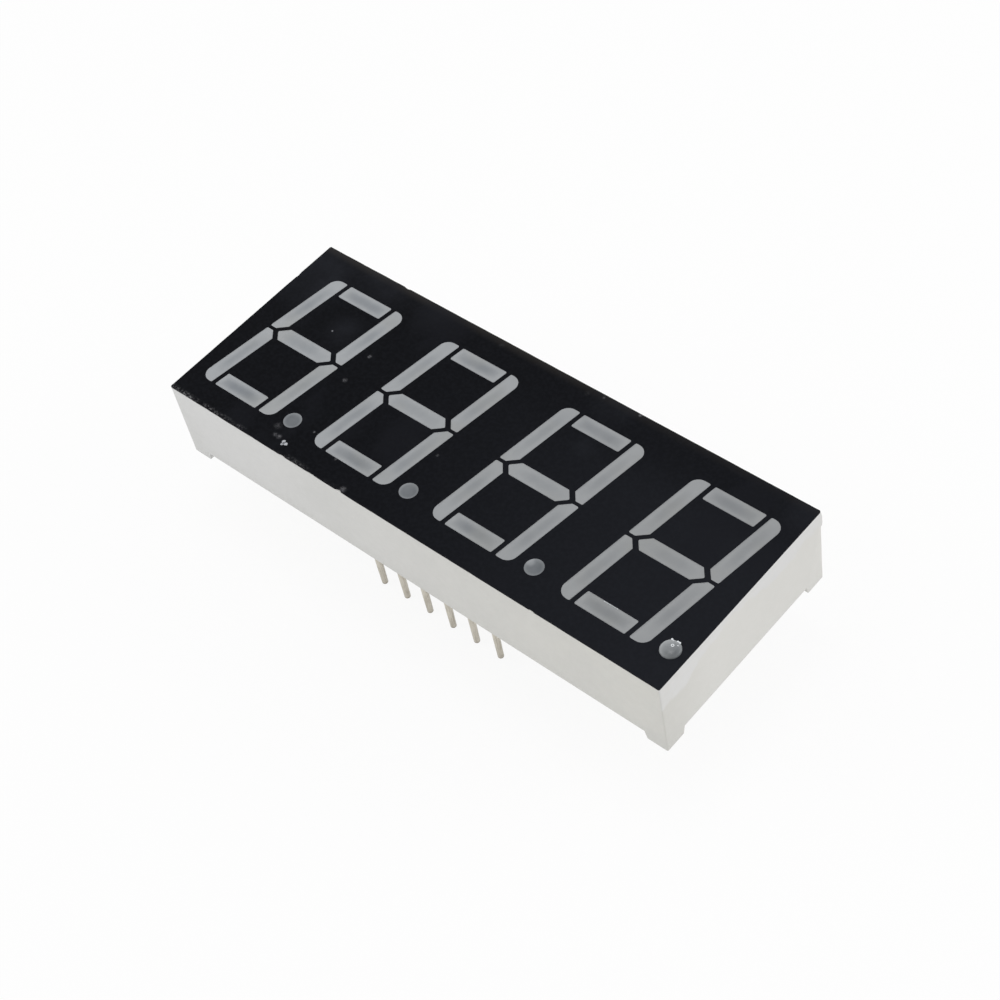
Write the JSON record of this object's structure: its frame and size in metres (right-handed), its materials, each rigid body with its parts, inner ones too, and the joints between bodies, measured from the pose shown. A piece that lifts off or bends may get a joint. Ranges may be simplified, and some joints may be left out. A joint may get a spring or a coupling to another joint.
{
  "type": "seven segment display module",
  "caption": "Low oblong LED numeric display with a black face, leaning segment windows, decimal points and pin rows below.",
  "frame": {"origin": "centre of the pin grid on the plane of the four feet, where the module seats on a circuit board", "axes": "+X along the row of digits to the reader's right, +Y to the tops of the digits, +Z out of the viewing face"},
  "size_m": [0.0502, 0.019, 0.0142],
  "materials": {
    "housing": "moulded light grey, fine matte",
    "face_film": "black printed layer, satin",
    "segment_resin": "milky grey diffusing resin",
    "back_resin": "milky casting resin",
    "board": "green glass laminate",
    "copper": "plated copper",
    "die": "polished semiconductor",
    "bond_wire": "gold wire",
    "solder": "bright solder",
    "pin": "dull tin plate"
  },
  "bodies": {
    "root": {"reflector_housing": "housing", "face_film": "face_film", "circuit_board": "board", "front_pads": "copper", "back_tracks": "copper", "solder_joints": "solder", "back_resin": "back_resin", "digit_1_segment_a": "segment_resin", "digit_1_segment_b": "segment_resin", "digit_1_segment_c": "segment_resin", "digit_1_segment_d": "segment_resin", "digit_1_segment_e": "segment_resin", "digit_1_segment_f": "segment_resin", "digit_1_segment_g": "segment_resin", "digit_2_segment_a": "segment_resin", "digit_2_segment_b": "segment_resin", "digit_2_segment_c": "segment_resin", "digit_2_segment_d": "segment_resin", "digit_2_segment_e": "segment_resin", "digit_2_segment_f": "segment_resin", "digit_2_segment_g": "segment_resin", "digit_3_segment_a": "segment_resin", "digit_3_segment_b": "segment_resin", "digit_3_segment_c": "segment_resin", "digit_3_segment_d": "segment_resin", "digit_3_segment_e": "segment_resin", "digit_3_segment_f": "segment_resin", "digit_3_segment_g": "segment_resin", "digit_4_segment_a": "segment_resin", "digit_4_segment_b": "segment_resin", "digit_4_segment_c": "segment_resin", "digit_4_segment_d": "segment_resin", "digit_4_segment_e": "segment_resin", "digit_4_segment_f": "segment_resin", "digit_4_segment_g": "segment_resin", "digit_1_decimal_point": "segment_resin", "digit_2_decimal_point": "segment_resin", "digit_3_decimal_point": "segment_resin", "digit_4_decimal_point": "segment_resin", "digit_1_led_dies": "die", "digit_2_led_dies": "die", "digit_3_led_dies": "die", "digit_4_led_dies": "die", "digit_1_bond_wires": "bond_wire", "digit_2_bond_wires": "bond_wire", "digit_3_bond_wires": "bond_wire", "digit_4_bond_wires": "bond_wire", "pin_1": "pin", "pin_2": "pin", "pin_3": "pin", "pin_4": "pin", "pin_5": "pin", "pin_6": "pin", "pin_7": "pin", "pin_8": "pin", "pin_9": "pin", "pin_10": "pin", "pin_11": "pin", "pin_12": "pin"}
  },
  "joints": []
}
